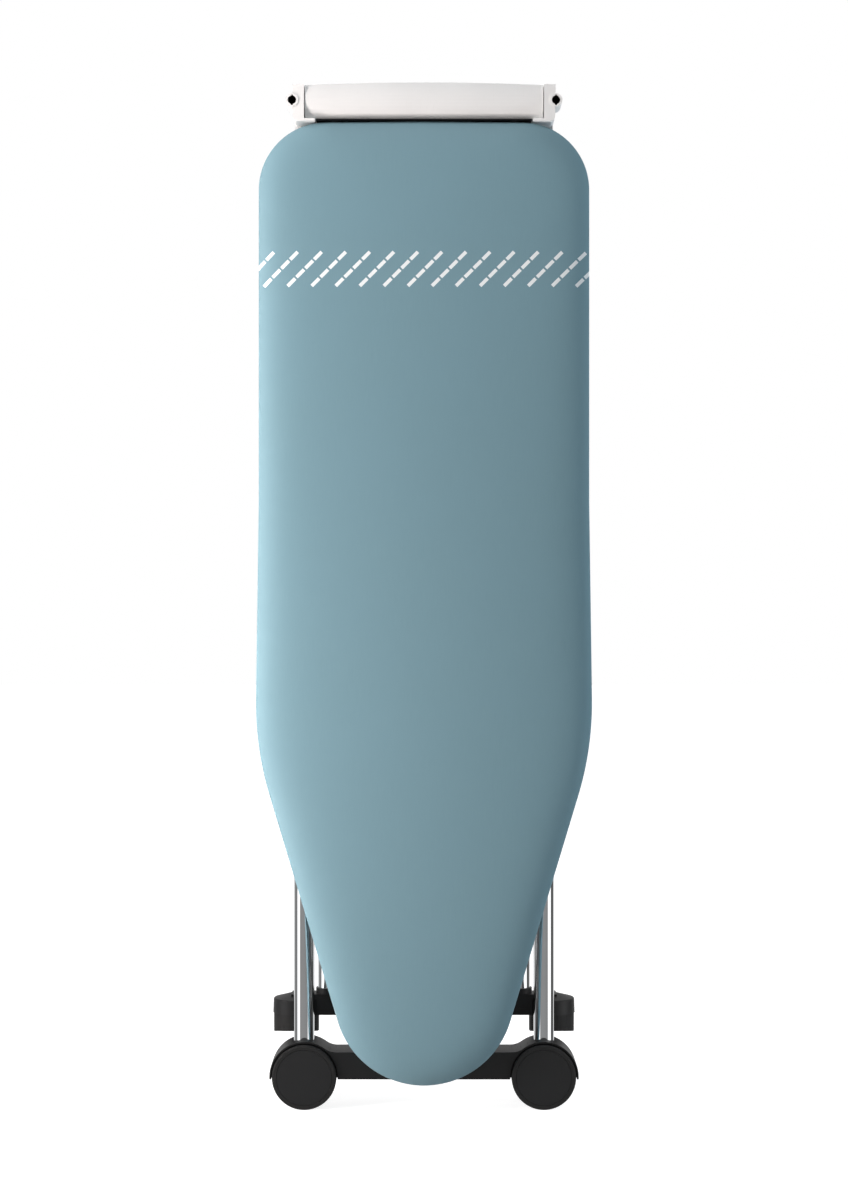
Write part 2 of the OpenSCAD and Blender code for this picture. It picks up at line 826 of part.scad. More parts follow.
module foot_beam() {
    wall = 3.2;
    cells = 8;
    cell_w = (2 * fair_x - 2) / cells;
    color("black")
        difference() {
            union() {
                slab(beam_y, beam_d)
                    polygon(concat(foot_half,
                        [for (i = [len(foot_half) - 1 : -1 : 0]) [-foot_half[i][0], foot_half[i][1]]]));
                // Bosses behind the wheels
                for (side = [LEFT, RIGHT])
                    rod_y([side * wheel_x, pocket_floor, wheel_z], wheel_pin_d / 2 + 5,
                        beam_y + beam_d - 14 - pocket_floor);
            }
            // Hollow underside: cells between ribs
            for (i = [0 : cells - 1])
                translate([-fair_x + 1 + i * cell_w + 1, beam_y + wall, beam_z - 1])
                    cube([cell_w - 2, beam_d - 2 * wall, beam_h + 1 - wall]);
            for (side = [LEFT, RIGHT]) {
                // Wheel pocket, socket for the tube, and bore for the wheel pin
                rod_y([side * wheel_x, beam_y - 1, wheel_z], pocket_r, pocket_floor - beam_y + 1);
                rod_z([side * leg_a_x, leg_a_y, beam_top - 20], tube_r, housing_r);
                rod_y([side * wheel_x, pocket_floor - 1, wheel_z], wheel_pin_d / 2, wheel_pin_len - wheel_w);
            }
        }
}

wheel_pin_len = wheel_w + 26;

module wheel_pin(side) {
    color("silver")
        union() {
            rod_y([side * wheel_x, wheel_y + 4, wheel_z], wheel_pin_d / 2, wheel_pin_len - 6);
            rod_y([side * wheel_x, wheel_y + 2.5, wheel_z], wheel_pin_d / 2 + 2.5, 1.5);
        }
}

hub_r = wheel_r - 6;

// Wheel disc: closed face with a shallow groove, hollow back, hub and spokes.
module wheel_hub(side) {
    spokes = 6;
    color("black")
        translate([side * wheel_x, wheel_y, wheel_z])
            rotate([-90, 0, 0])
                difference() {
                    union() {
                        difference() {
                            cylinder(r = hub_r, h = wheel_w, $fn = 96);
                            translate([0, 0, 5.5])
                                cylinder(r = hub_r - 3, h = wheel_w, $fn = 96);
                        }
                        cylinder(r = wheel_pin_d / 2 + 4, h = wheel_w);
                        for (i = [0 : spokes - 1])
                            rotate(i * 360 / spokes)
                                translate([wheel_pin_d / 2 + 3, -1.25, 4])
                                    cube([hub_r - wheel_pin_d / 2 - 5, 2.5, wheel_w - 6]);
                    }
                    // Bore for the pin and room for its head
                    translate([0, 0, 4])
                        cylinder(r = wheel_pin_d / 2 + fit, h = wheel_w);
                    translate([0, 0, 2.2])
                        cylinder(r = wheel_pin_d / 2 + 2.8, h = 2.1);
                }
}

module wheel_tread(side) {
    r = wheel_r;
    color("#202020")
        translate([side * wheel_x, wheel_y, wheel_z])
            rotate([-90, 0, 0])
                rotate_extrude($fn = 96)
                    polygon([[hub_r, 0.6], [hub_r + 0.6, 0], [r - 2, 0], [r - 0.6, 0.6], [r, 2],
                        [r, wheel_w - 2], [r - 0.6, wheel_w - 0.6], [r - 2, wheel_w], [hub_r, wheel_w]]);
}

// Rubber heel: stands on the floor behind the wheel, and its chamfer takes the load on a set up board.
module heel(side) {
    front = heel_y - 18.3;
    back = heel_y + 5.7;
    groove = 1.6;
    // The chamfer lies in the floor plane of the open board.
    color("#303030")
        side_plate_heel(side)
            polygon([[front, 0],
                // Grip grooves across the sole
                for (y = [front + 4, front + 9])
                    each [[y, 0], [y, groove], [y + groove, groove], [y + groove, 0]],
                [heel_y, 0], [back, (back - heel_y) / tan(open_a)],
                [back, beam_z + 16], [beam_y + beam_d, beam_z + 16], [beam_y + beam_d, beam_z],
                [front, beam_z]]);
}

module side_plate_heel(side) {
    side_plate(side * wheel_x, heel_w)
        children();
}

// Two screws behind each heel
module foot_screws() {
    color("silver")
        for (side = [LEFT, RIGHT])
            for (x = [-14, 14])
                rod_y([side * wheel_x + x, heel_y + 5.7, beam_z + 8], 3.5, 1.6);
}

/* Inner leg */

module leg_b_tube(side) {
    ear_t = 3;
    ear_h = 22;
    length = hinge_b_z + 16 - rear_beam_top;
    x = leg_b_x;
    color("gainsboro")
        mirrored(side)
            difference() {
                union() {
                    rod_z([x, leg_b_y, rear_beam_top], tube_r, length);
                    // Ear that carries the runner pin
                    side_plate(x, ear_t)
                        union() {
                            polygon([[leg_b_y, runner_z - 2 * ear_h], [leg_b_y, runner_z + 2 * ear_h],
                                [leg_a_y, runner_z + ear_h / 2], [leg_a_y, runner_z - ear_h / 2]]);
                            translate([leg_a_y, runner_z])
                                circle(r = ear_h / 2);
                        }
                }
                rod_z([x, leg_b_y, rear_beam_top - 1], tube_r - tube_wall, length + 2);
                rod_x([x - ear_t, leg_a_y, runner_z], runner_pin_d / 2, 2 * ear_t);
                rod_x([x - tube_d, leg_b_y, hinge_b_z], cross_tube_d / 2, tube_d);
            }
}

module leg_b_plugs() {
    color("black")
        for (side = [LEFT, RIGHT])
            tube_plug(side * leg_b_x, leg_b_y, hinge_b_z + 16);
}

module leg_b_cross_tube() {
    half = leg_b_x - 1;
    color("dimgray")
        difference() {
            rod_x([-half, leg_b_y, hinge_b_z], cross_tube_d / 2, 2 * half);
            rod_x([-half - 1, leg_b_y, hinge_b_z], cross_tube_d / 2 - 2, 2 * half + 2);
        }
}

// Height quadrant welded round the cross tube: one notch for each working height.
module height_quadrant() {
    first = 90 - rear_a;
    low = first - 10;
    high = 110;
    notch_w = 3.6;
    color("dimgray")
        side_plate(0, 4)
            difference() {
                polygon(concat(
                    arc(leg_b_y, hinge_b_z, quadrant_r, low, high, 26),
                    arc(leg_b_y, hinge_b_z, cross_tube_d / 2 + 5, high + 20, low + 340, 16)));
                translate([leg_b_y, hinge_b_z])
                    circle(r = cross_tube_d / 2);
                for (i = [0 : notch_n - 1])
                    translate([leg_b_y, hinge_b_z])
                        rotate(first + i * notch_step)
                            translate([quadrant_r - 5, -notch_w / 2])
                                square([8, notch_w]);
            }
}

module rear_beam() {
    half = foot_x + 6;
    color("#101010")
        difference() {
            translate([-half, leg_b_y - rear_beam_d / 2, rear_beam_z])
                cube([2 * half, rear_beam_d, rear_beam_h]);
            translate([-half - 1, leg_b_y - rear_beam_d / 2 + 2, rear_beam_z + 2])
                cube([2 * half + 2, rear_beam_d - 4, rear_beam_h - 4]);
        }
}

// Foot cap: a round cup turned over the rubber pad, with a low dome and a pocket for the beam's end.
module foot_cap(side) {
    r = foot_d / 2 + 0.9;
    half = foot_x + 6;
    color("#181818")
        difference() {
            translate([side * foot_x, leg_b_y, cap_z])
                rotate_extrude($fn = 72)
                    polygon(concat([[0, 0], [r, 0]],
                        [for (i = [0 : 6]) let (a = i * 15)
                            [r - 3 + 2.4 * cos(a), foot_cap_h - 5 + 2 * sin(a)]],
                        [[0, foot_cap_h + 4.5]]));
            translate([-half, leg_b_y - rear_beam_d / 2, rear_beam_z])
                cube([2 * half, rear_beam_d, rear_beam_h]);
        }
}

// Rubber pad: its front half is bevelled so that it stands flat when the board is set up.
module foot_pad(side) {
    r = foot_d / 2;
    bevel = 180 - 2 * open_a - 90;
    color("#242424")
        difference() {
            rod_z([side * foot_x, leg_b_y, pad_lift], r, foot_pad_h);
            translate([side * foot_x, leg_b_y + contact_h, pad_lift])
                rotate([bevel, 0, 0])
                    translate([-foot_d, -2 * foot_d, -foot_d])
                        cube([2 * foot_d, 2 * foot_d, foot_d]);
            translate([-foot_x - 6, leg_b_y - rear_beam_d / 2, rear_beam_z])
                cube([2 * foot_x + 12, rear_beam_d, rear_beam_h]);
        }
}

module leg_b_collars() {
    color("#202020")
        for (side = [LEFT, RIGHT])
            difference() {
                rod_z([side * leg_b_x, leg_b_y, rear_beam_top], tube_r + 2.4, 7);
                rod_z([side * leg_b_x, leg_b_y, rear_beam_top - 1], tube_r, 9);
            }
}

/* Runners */

runner_r = tube_r + runner_wall;
boss_x = leg_b_x + 3;

module runner_pin(side) {
    head_x = leg_b_x - 1.5 - 3;
    tip_x = leg_a_x - tube_r - 1.2;
    color("silver")
        mirrored(side)
            union() {
                rod_x([head_x, leg_a_y, runner_z], runner_pin_d / 2 + 3, 3);
                rod_x([head_x + 2, leg_a_y, runner_z], runner_pin_d / 2, tip_x - head_x - 2);
            }
}

module runner(side) {
    color("black")
        mirrored(side)
            difference() {
                union() {
                    rod_z([leg_a_x, leg_a_y, runner_z - runner_len / 2], runner_r, runner_len);
                    for (z = [runner_z - runner_len / 2, runner_z + runner_len / 2 - 4])
                        rod_z([leg_a_x, leg_a_y, z], runner_r + 1, 4);
                    rod_x([boss_x, leg_a_y, runner_z], runner_pin_d / 2 + 5, leg_a_x - boss_x);
                }
                rod_z([leg_a_x, leg_a_y, runner_z - runner_len], tube_r + fit, 2 * runner_len);
                rod_x([boss_x - 1, leg_a_y, runner_z], runner_pin_d / 2 + fit, leg_a_x - boss_x - tube_r);
            }
}

/* Fasteners on the deck */

module deck_screws() {
    color("silver")
        union() {
            for (side = [LEFT, RIGHT])
                for (z = [top_z - 60, top_z - 38])
                    rod_y([side * (cap_x + 2), deck_y + 6, z], 4, 2);
            for (side = [LEFT, RIGHT])
                for (z = [hinge_a_z - 12, hinge_a_z + 12, hinge_b_z - 12, hinge_b_z + 12])
                    rod_y([side * (channel_reach - 7), deck_y + sheet_t, z], 4, 2);
        }
}

deck_plate();
deck_rim();
pad();
cover();
rail(LEFT);  // rail_left
rail(RIGHT);  // rail_right
cross_upper();
cross_lower();
bracket_a(LEFT);  // bracket_a_left
bracket_a(RIGHT);  // bracket_a_right
axle_a();
bracket_b(LEFT);  // bracket_b_left
bracket_b(RIGHT);  // bracket_b_right
bushes_b();
tail_panel();
end_cap(LEFT);  // end_cap_left
end_cap(RIGHT);  // end_cap_right
rod_guides();
lever_bracket();
release_pins();
lever_spring();
pawl_bracket();
deck_screws();
rest_bar();
rest_rod(LEFT);  // rest_rod_left
rest_rod(RIGHT);  // rest_rod_right
rest_wires();
rest_collars();
release_lever();
link_rod();
pawl();
leg_a_tube(LEFT);  // leg_a_tube_left
leg_a_tube(RIGHT);  // leg_a_tube_right
leg_a_plugs();
foot_beam();
heel(LEFT);  // heel_left
heel(RIGHT);  // heel_right
wheel_pin(LEFT);  // wheel_pin_left
wheel_pin(RIGHT);  // wheel_pin_right
foot_screws();
wheel_hub(LEFT);  // wheel_hub_left
wheel_tread(LEFT);  // wheel_tread_left
wheel_hub(RIGHT);  // wheel_hub_right
wheel_tread(RIGHT);  // wheel_tread_right
leg_b_tube(LEFT);  // leg_b_tube_left
leg_b_tube(RIGHT);  // leg_b_tube_right
leg_b_plugs();
leg_b_cross_tube();
height_quadrant();
rear_beam();
foot_cap(LEFT);  // foot_cap_left
foot_cap(RIGHT);  // foot_cap_right
foot_pad(LEFT);  // foot_pad_left
foot_pad(RIGHT);  // foot_pad_right
leg_b_collars();
runner_pin(LEFT);  // runner_pin_left
runner_pin(RIGHT);  // runner_pin_right
runner(LEFT);  // runner_left
runner(RIGHT);  // runner_right
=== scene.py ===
import json
import math

import bmesh
import bpy
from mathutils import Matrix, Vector, noise


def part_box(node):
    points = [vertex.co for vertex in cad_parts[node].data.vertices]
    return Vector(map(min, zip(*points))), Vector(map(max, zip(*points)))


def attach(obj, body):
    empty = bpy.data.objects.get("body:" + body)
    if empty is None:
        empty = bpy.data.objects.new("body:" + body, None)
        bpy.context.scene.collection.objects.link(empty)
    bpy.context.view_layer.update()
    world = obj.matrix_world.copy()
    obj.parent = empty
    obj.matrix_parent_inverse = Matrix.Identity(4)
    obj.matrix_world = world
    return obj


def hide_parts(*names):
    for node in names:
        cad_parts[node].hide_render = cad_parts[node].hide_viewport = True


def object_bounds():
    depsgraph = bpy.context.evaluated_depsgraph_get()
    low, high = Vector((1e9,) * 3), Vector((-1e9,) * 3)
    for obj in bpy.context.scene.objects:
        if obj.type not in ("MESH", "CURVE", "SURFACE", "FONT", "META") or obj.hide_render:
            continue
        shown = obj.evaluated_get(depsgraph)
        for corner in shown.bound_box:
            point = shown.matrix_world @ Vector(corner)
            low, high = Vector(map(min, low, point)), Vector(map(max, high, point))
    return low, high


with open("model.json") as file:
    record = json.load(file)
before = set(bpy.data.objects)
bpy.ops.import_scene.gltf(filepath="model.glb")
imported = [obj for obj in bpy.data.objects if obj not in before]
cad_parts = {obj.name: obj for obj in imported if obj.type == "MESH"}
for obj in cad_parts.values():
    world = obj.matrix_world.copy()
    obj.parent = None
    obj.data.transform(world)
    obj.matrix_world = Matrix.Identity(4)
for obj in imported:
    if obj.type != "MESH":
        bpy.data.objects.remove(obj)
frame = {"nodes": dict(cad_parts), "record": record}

cad_low, cad_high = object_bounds()
scene = bpy.context.scene


# ---- Camera ----
# Level with the middle of the board, square on to the ironing face. The distance is taken from that face.
CAMERA_HEIGHT, CAMERA_DISTANCE = 0.64, 2.78
LENS, SENSOR, SIGHT = 67.35, 36, 60
camera_data = bpy.data.cameras.new("camera")
camera_data.lens = LENS
camera_data.sensor_width = SENSOR
camera_data.clip_end = SIGHT
camera = bpy.data.objects.new("camera", camera_data)
camera.location = (0, cad_low.y - CAMERA_DISTANCE, CAMERA_HEIGHT)
camera.rotation_euler = (math.radians(90), 0, 0)
scene.collection.objects.link(camera)
scene.camera = camera


# ---- Studio ----
# White room: warm soft lights on the left, a cooler one on the right, soft ones above and behind, and a
# pale floor that the camera sees with a painted glow added, weaker near the board and stronger away from
# it until it meets the white of the room.
def add(tree, kind, inputs=None, **settings):
    """Adds a node. An input is a value, or a node and the name of its output."""
    made = tree.nodes.new(kind)
    for name, value in settings.items():
        setattr(made, name, value)
    for name, value in (inputs or {}).items():
        socket = made.inputs[name]
        if isinstance(value, tuple) and isinstance(value[0], bpy.types.Node):
            tree.links.new(value[0].outputs[value[1]], socket)
        else:
            socket.default_value = value
    return made


def linear(hex_colour):
    """An sRGB hex colour as linear RGBA."""
    parts = [int(hex_colour[i : i + 2], 16) / 255 for i in (0, 2, 4)]
    return tuple(c / 12.92 if c <= 0.04045 else ((c + 0.055) / 1.055) ** 2.4 for c in parts) + (1.0,)


def set_ramp(ramp, stops):
    """Gives a colour ramp its stops, as (position, RGBA)."""
    elements = ramp.color_ramp.elements
    while len(elements) > 1:
        elements.remove(elements[-1])
    elements[0].position, elements[0].color = stops[0]
    for position, colour in stops[1:]:
        elements.new(position).color = colour


def grey(value):
    return (value, value, value, 1.0)


# What polished metal sees of the room by direction: 0.5 is the camera's side, 0.25 left, 0.75 right.
ROOM = [(0.0, 1.0), (0.14, 0.9), (0.16, 0.26), (0.278, 0.26), (0.29, 1.8), (0.366, 1.8), (0.38, 0.34),
        (0.5, 0.34), (0.61, 0.3), (0.634, 1.6), (0.725, 1.6), (0.738, 0.12), (0.84, 0.07), (0.86, 0.9)]
ROOM_STRENGTH, SKY = 0.85, 0.7
SKY_FROM, SKY_FULL = 0.5, 0.95
FILL_FRONT, FILL_REAR = 0.09, 0.75
scene.view_settings.view_transform = "Standard"
world = bpy.data.worlds.new("studio")
scene.world = world
world.use_nodes = True
tree = world.node_tree
tree.nodes.clear()
direction = add(tree, "ShaderNodeSeparateXYZ", {"Vector": (add(tree, "ShaderNodeTexCoord"), "Generated")})
front = add(tree, "ShaderNodeMath", {0: (direction, "Y"), 1: -1.0}, operation="MULTIPLY")
azimuth = add(tree, "ShaderNodeMath", {0: (direction, "X"), 1: (front, "Value")}, operation="ARCTAN2")
turn = add(tree, "ShaderNodeMapRange", {
    "Value": (azimuth, "Value"), "From Min": -math.pi, "From Max": math.pi})
room = add(tree, "ShaderNodeValToRGB", {"Fac": (turn, "Result")})
set_ramp(room, [(position, grey(value)) for position, value in ROOM])
up = add(tree, "ShaderNodeMapRange", {
    "Value": (direction, "Z"), "From Min": SKY_FROM, "From Max": SKY_FULL})
sky = add(tree, "ShaderNodeMix", {"Factor": (up, "Result"), "A": (room, "Color"), "B": grey(SKY)},
          data_type="RGBA")
seen = add(tree, "ShaderNodeLightPath")
mirrored = add(tree, "ShaderNodeBackground", {"Color": (sky, "Result"), "Strength": ROOM_STRENGTH})
behind = add(tree, "ShaderNodeMapRange", {
    "Value": (direction, "Y"), "To Min": FILL_FRONT, "To Max": FILL_REAR})
fill = add(tree, "ShaderNodeBackground", {"Color": grey(1.0), "Strength": (behind, "Result")})
white = add(tree, "ShaderNodeBackground", {"Color": grey(1.0), "Strength": 1.0})
unseen = add(tree, "ShaderNodeMixShader", {"Fac": (seen, "Is Glossy Ray"), 1: (fill, "Background"),
                                           2: (mirrored, "Background")})
both = add(tree, "ShaderNodeMixShader", {"Fac": (seen, "Is Camera Ray"), 1: (unseen, "Shader"),
                                         2: (white, "Background")})
add(tree, "ShaderNodeOutputWorld", {"Surface": (both, "Shader")})

NEUTRAL, WARM, COOL = (1.0, 1.0, 1.0), (1.0, 0.92, 0.89), (0.82, 0.91, 1.0)
# Each light's name, place, target, width, height, power in watts and tint.
LIGHTS = [
    ("key_light", (-0.86, -0.42, 0.62), (0.0, -0.05, 0.62), 0.2, 2.2, 22.0, WARM),
    ("low_light", (-0.84, -0.46, 0.26), (0.0, -0.05, 0.26), 0.2, 0.9, 8.5, WARM),
    ("side_light", (1.3, -0.1, 0.5), (0.0, -0.05, 0.5), 0.3, 1.7, 13.0, COOL),
    ("top_light", (0.0, -0.9, 2.4), (0.0, -0.05, 0.8), 2.0, 1.2, 5.5, COOL),
    ("head_light", (-0.1, -0.55, 1.8), (0.0, -0.06, 1.25), 1.2, 0.4, 3.2, NEUTRAL),
    ("rear_light", (1.1, 2.2, 1.5), (0.0, 0.0, 0.6), 1.6, 1.6, 8.0, NEUTRAL),
]
for name, place, target, width, height, power, tint in LIGHTS:
    light_data = bpy.data.lights.new(name, "AREA")
    light_data.shape = "RECTANGLE"
    light_data.size, light_data.size_y = width, height
    light_data.energy = power
    light_data.color = tint
    light = bpy.data.objects.new(name, light_data)
    light.location = place
    light.rotation_euler = (Vector(target) - Vector(place)).to_track_quat("-Z", "Y").to_euler()
    light.visible_camera = False
    light.visible_glossy = False
    scene.collection.objects.link(light)

FLOOR_REACH = 14.0
FLOOR_GREY = 0.5
GLOW_NEAR, GLOW_FAR = 0.5, 1.6
GLOW_LOW, GLOW_FULL = 0.86, 1.0
corners = [(x * FLOOR_REACH, y * FLOOR_REACH, cad_low.z) for x, y in ((-1, -1), (1, -1), (1, 1), (-1, 1))]
floor_mesh = bpy.data.meshes.new("floor")
floor_mesh.from_pydata(corners, [], [(0, 1, 2, 3)])
floor = bpy.data.objects.new("floor", floor_mesh)
scene.collection.objects.link(floor)
floor_paint = bpy.data.materials.new("floor_paint")
floor_paint.use_nodes = True
tree = floor_paint.node_tree
tree.nodes.clear()
matt = add(tree, "ShaderNodeBsdfDiffuse", {"Color": grey(FLOOR_GREY)})
spot = add(tree, "ShaderNodeNewGeometry")
apart = add(tree, "ShaderNodeVectorMath", {0: (spot, "Position")}, operation="LENGTH")
# Painted glow: camera rays see the floor glowing, weaker near the board and full white far from it.
lift = add(tree, "ShaderNodeMapRange", {
    "Value": (apart, "Value"), "From Min": GLOW_NEAR, "From Max": GLOW_FAR,
    "To Min": GLOW_LOW, "To Max": GLOW_FULL})
glow = add(tree, "ShaderNodeEmission", {"Color": grey(1.0), "Strength": (lift, "Result")})
seen = add(tree, "ShaderNodeLightPath")
lifted = add(tree, "ShaderNodeAddShader", {0: (matt, "BSDF"), 1: (glow, "Emission")})
shown = add(tree, "ShaderNodeMixShader", {"Fac": (seen, "Is Camera Ray"), 1: (matt, "BSDF"),
                                          2: (lifted, "Shader")})
clear = add(tree, "ShaderNodeBsdfTransparent")
unmirrored = add(tree, "ShaderNodeMixShader", {"Fac": (seen, "Is Glossy Ray"), 1: (shown, "Shader"),
                                               2: (clear, "BSDF")})
add(tree, "ShaderNodeOutputMaterial", {"Surface": (unmirrored, "Shader")})
floor_mesh.materials.append(floor_paint)


# ---- Cover ----
# Fitted cotton cover, stretched over the pad and round the rim. Its hem is gathered on a sewn-in elastic
# and turns in behind the rim. Plain weave, with one band of printed diagonal dashes near the wide end.
NOSE_R, BELLY_R, CORNER_R = 0.113, 0.4, 0.085
BELLY_UP = 0.477
SIDE_SLOPE = math.radians(0.8)
END_IN, END_CROWN = 0.0035, 0.0012
ARC_STEPS = 60
NORMAL_SPAN = 3


def board_outline(reach_x, low_z, high_z, step):
    """The covered board's outline as points and outward normals, each about a step apart."""
    end_half = reach_x - END_IN
    nose_z, belly_z, corner_z = low_z + NOSE_R, low_z + BELLY_UP, high_z - END_CROWN - CORNER_R
    belly_x = reach_x - BELLY_R
    span = math.hypot(belly_x, belly_z - nose_z)
    taper = math.atan2(belly_z - nose_z, -belly_x) - math.acos((BELLY_R - NOSE_R) / span)

    def arc(x, z, r, start, end):
        angles = [start + (end - start) * i / ARC_STEPS for i in range(ARC_STEPS + 1)]
        return [(x + r * math.cos(a), z + r * math.sin(a)) for a in angles]

    half = arc(0, nose_z, NOSE_R, -math.pi / 2, -taper)
    half += arc(belly_x, belly_z, BELLY_R, -taper, SIDE_SLOPE)
    half += [(end_half, belly_z + (reach_x - end_half) / math.tan(SIDE_SLOPE))]
    half += arc(end_half - CORNER_R, corner_z, CORNER_R, 0, math.pi / 2)
    half += [(0, high_z)]
    loop = half + [(-x, z) for x, z in half[-2:0:-1]]
    lengths = [0.0]
    for a, b in zip(loop, loop[1:] + loop[:1]):
        lengths.append(lengths[-1] + math.dist(a, b))
    count = round(lengths[-1] / step)
    points, at = [], 0
    for i in range(count):
        wanted = lengths[-1] * i / count
        while lengths[at + 1] < wanted:
            at += 1
        share = (wanted - lengths[at]) / (lengths[at + 1] - lengths[at])
        a, b = loop[at], loop[(at + 1) % len(loop)]
        points.append(Vector((a[0] + (b[0] - a[0]) * share, a[1] + (b[1] - a[1]) * share)))
    normals = []
    for i in range(count):
        along = (points[(i + NORMAL_SPAN) % count] - points[i - NORMAL_SPAN]).normalized()
        normals.append(Vector((along.y, -along.x)))
    return points, normals


MERGE = 1e-6


def ring_mesh(name, rings, close_start=False, close_end=False):
    """A mesh object from closed rings of points, joined in order."""
    count = len(rings[0])
    vertices = [tuple(p) for ring in rings for p in ring]
    faces = []
    for r in range(len(rings) - 1):
        for i in range(count):
            a, b = r * count + i, r * count + (i + 1) % count
            faces.append((a, b, b + count, a + count))
    if close_start:
        faces.append(tuple(reversed(range(count))))
    if close_end:
        faces.append(tuple(range((len(rings) - 1) * count, len(rings) * count)))
    mesh = bpy.data.meshes.new(name)
    mesh.from_pydata(vertices, [], faces)
    shape = bmesh.new()
    shape.from_mesh(mesh)
    bmesh.ops.remove_doubles(shape, verts=shape.verts, dist=MERGE)
    bmesh.ops.recalc_face_normals(shape, faces=shape.faces)
    shape.to_mesh(mesh)
    shape.free()
    mesh.shade_smooth()
    made = bpy.data.objects.new(name, mesh)
    scene.collection.objects.link(made)
    return made


SPINE_END = 0.15


def spine_point(point, low_z, high_z):
    """The nearest point of the board's middle line."""
    return Vector((0, min(max(point.y, low_z + NOSE_R), high_z - SPINE_END)))


def smooth_step(value):
    value = min(max(value, 0.0), 1.0)
    return value * value * (3 - 2 * value)


# Sizes are in metres. A pace and a row say where each noise is read, and the ring counts say how fine
# the mesh is.
COVER_STEP = 0.0026
TOP_IN, BACK_IN = 0.0002, 0.0006
CROWN_DROP, CROWN_REACH = 0.0122, 0.0175
EDGE_IN, EDGE_R, TURN_R = 0.0019, 0.0022, 0.0016
SIDE_IN, BACK_START, BEAD_R = 0.0006, 0.002, 0.0014
HEM_NARROW, HEM_WIDE = 0.0105, 0.0195
HEM_TOP, HEM_EASE, CHANNEL_CLEAR = 1.16, 0.04, 0.03
GATHER_PITCH, GATHER_DEPTH = 0.0115, 0.0011
SIDE_GATHER, TURN_LIFT, BEAD_LIFT = 0.0005, 0.0003, 0.8
DRIFT, DRIFT_PACE, DRIFT_ROW = 2.5, 0.021, 3.1
MEAN_SWELL, SWELL, SWELL_PACE, SWELL_ROW = 0.75, 0.4, 0.05, 9.4
SOFTNESS, SOFT_SCALE, SOFT_ROW, SOFT_FADE = 0.00018, 9, 0.7, 4
FACE_RINGS, EDGE_RINGS, SIDE_RINGS, TURN_RINGS, HEM_RINGS, BEAD_RINGS = 30, 6, 7, 4, 5, 7
RING_CROWDING = 1.9
BEAD_TURN = 40

# The hem is narrow at the cross channels and at the wide end, and each gather has a strength of its own.
cover_low, cover_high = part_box("cover")
points, normals = board_outline(cover_high.x, cover_low.z, cover_high.z, COVER_STEP)
count = len(points)
channel_z = [sum(c.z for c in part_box(name)) / 2 for name in ("cross_upper", "cross_lower")]
hem_width, gather = [], []
for i, point in enumerate(points):
    near = min(abs(point.y - z) for z in channel_z)
    clear = smooth_step((near - CHANNEL_CLEAR) / HEM_EASE) * smooth_step((HEM_TOP - point.y) / HEM_EASE)
    hem_width.append(HEM_NARROW + (HEM_WIDE - HEM_NARROW) * clear)
    drift = DRIFT * noise.noise(Vector((i * DRIFT_PACE, DRIFT_ROW, 0.0)))
    phase = 2 * math.pi * i / count * round(count * COVER_STEP / GATHER_PITCH) + drift
    swell = MEAN_SWELL + SWELL * noise.noise(Vector((i * SWELL_PACE, SWELL_ROW, 0.0)))
    gather.append(math.sin(phase) * swell)


def cover_ring(inset, y, gathered=0.0, lift=0.0):
    """Points at an inset from the outline: gathers push them out, and lift pushes them back."""
    ring = []
    for i in range(count):
        where = points[i] - normals[i] * (inset(i) if callable(inset) else inset)
        where = where + normals[i] * gather[i] * gathered
        ring.append(Vector((where.x, y + gather[i] * lift, where.y)))
    return ring


def crown_at(inset):
    """How far the padded face falls back at an inset from the board's edge."""
    return CROWN_DROP * math.exp(-inset / CROWN_REACH)


# From the middle line of the face out to its edge, down the side, round the rim and in to the elastic.
rings = []
top_y = cover_low.y + TOP_IN
back_y = cover_high.y - BACK_IN
for k in range(FACE_RINGS):
    share = 1 - (1 - k / (FACE_RINGS - 1)) ** RING_CROWDING
    ring = []
    for i in range(count):
        rim = points[i] - normals[i] * EDGE_IN
        middle = spine_point(points[i], cover_low.z, cover_high.z)
        where = middle + (rim - middle) * share
        inset = EDGE_IN + (rim - middle).length * (1 - share)
        soft = SOFTNESS * noise.noise(Vector((where.x * SOFT_SCALE, where.y * SOFT_SCALE, SOFT_ROW)))
        ring.append(Vector((where.x, top_y + crown_at(inset) + soft * (1 - share ** SOFT_FADE), where.y)))
    rings.append(ring)
edge_slope = math.atan(crown_at(EDGE_IN) / CROWN_REACH)
for k in range(1, EDGE_RINGS + 1):
    angle = edge_slope + (math.pi / 2 - edge_slope) * k / EDGE_RINGS
    rings.append(cover_ring(EDGE_IN - EDGE_R * (math.sin(angle) - math.sin(edge_slope)),
                            top_y + crown_at(EDGE_IN) + EDGE_R * (math.cos(edge_slope) - math.cos(angle))))
side_inset = EDGE_IN - EDGE_R * (1 - math.sin(edge_slope))
side_start = top_y + crown_at(EDGE_IN) + EDGE_R * math.cos(edge_slope)
for k in range(1, SIDE_RINGS + 1):
    share = k / SIDE_RINGS
    rings.append(cover_ring(side_inset + (SIDE_IN - side_inset) * share,
                            side_start + (back_y - TURN_R - side_start) * share,
                            gathered=SIDE_GATHER * share ** 3))
for k in range(1, TURN_RINGS + 1):
    angle = math.pi / 2 * k / TURN_RINGS
    rings.append(cover_ring(SIDE_IN + TURN_R * (1 - math.cos(angle)),
                            back_y - TURN_R + TURN_R * math.sin(angle),
                            gathered=SIDE_GATHER, lift=TURN_LIFT * k / TURN_RINGS))
for k in range(1, HEM_RINGS + 1):
    share = k / HEM_RINGS
    rings.append(cover_ring(lambda i: BACK_START + (hem_width[i] - BACK_START) * share, back_y,
                            lift=TURN_LIFT + (GATHER_DEPTH - TURN_LIFT) * share))
for k in range(1, BEAD_RINGS + 1):
    angle = math.radians(BEAD_TURN * k)
    rings.append(cover_ring(lambda i: hem_width[i] + BEAD_R * math.sin(angle),
                            back_y + BEAD_R * (math.cos(angle) - 1), lift=GATHER_DEPTH * BEAD_LIFT))
